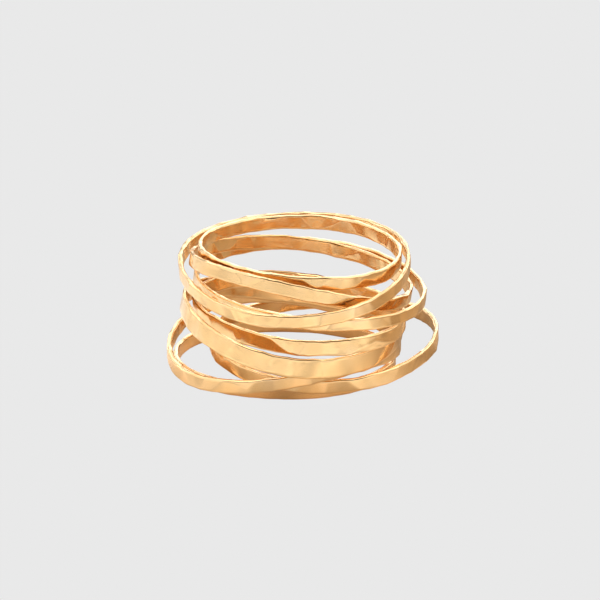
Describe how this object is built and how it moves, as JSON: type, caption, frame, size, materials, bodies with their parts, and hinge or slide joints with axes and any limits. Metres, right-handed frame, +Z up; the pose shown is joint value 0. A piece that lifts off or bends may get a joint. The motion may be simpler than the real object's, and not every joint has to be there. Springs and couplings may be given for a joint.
{
  "type": "stackable ring of thin hammered loops",
  "caption": "Finger ring made of thin hammered gold bands that lean, shift and cross over and around each other in one loose bundle.",
  "frame": {"origin": "on the resting surface, under the middle of the bundle's box", "axes": "+Z up along the finger, +X to the right and +Y to the back as the bundle is seen from the front; Z is the shortest extent"},
  "size_m": [0.0234, 0.024, 0.0124],
  "materials": {
    "hammered_gold": "hammered facets with soft edges, polished to a satin gloss"
  },
  "bodies": {
    "root": {"loop_top_outer": "hammered_gold", "loop_top_inner": "hammered_gold", "loop_upper_cross": "hammered_gold", "loop_right_shoulder": "hammered_gold", "loop_middle": "hammered_gold", "loop_wide": "hammered_gold", "loop_low_left": "hammered_gold", "loop_low_right": "hammered_gold", "loop_base": "hammered_gold"}
  },
  "joints": []
}
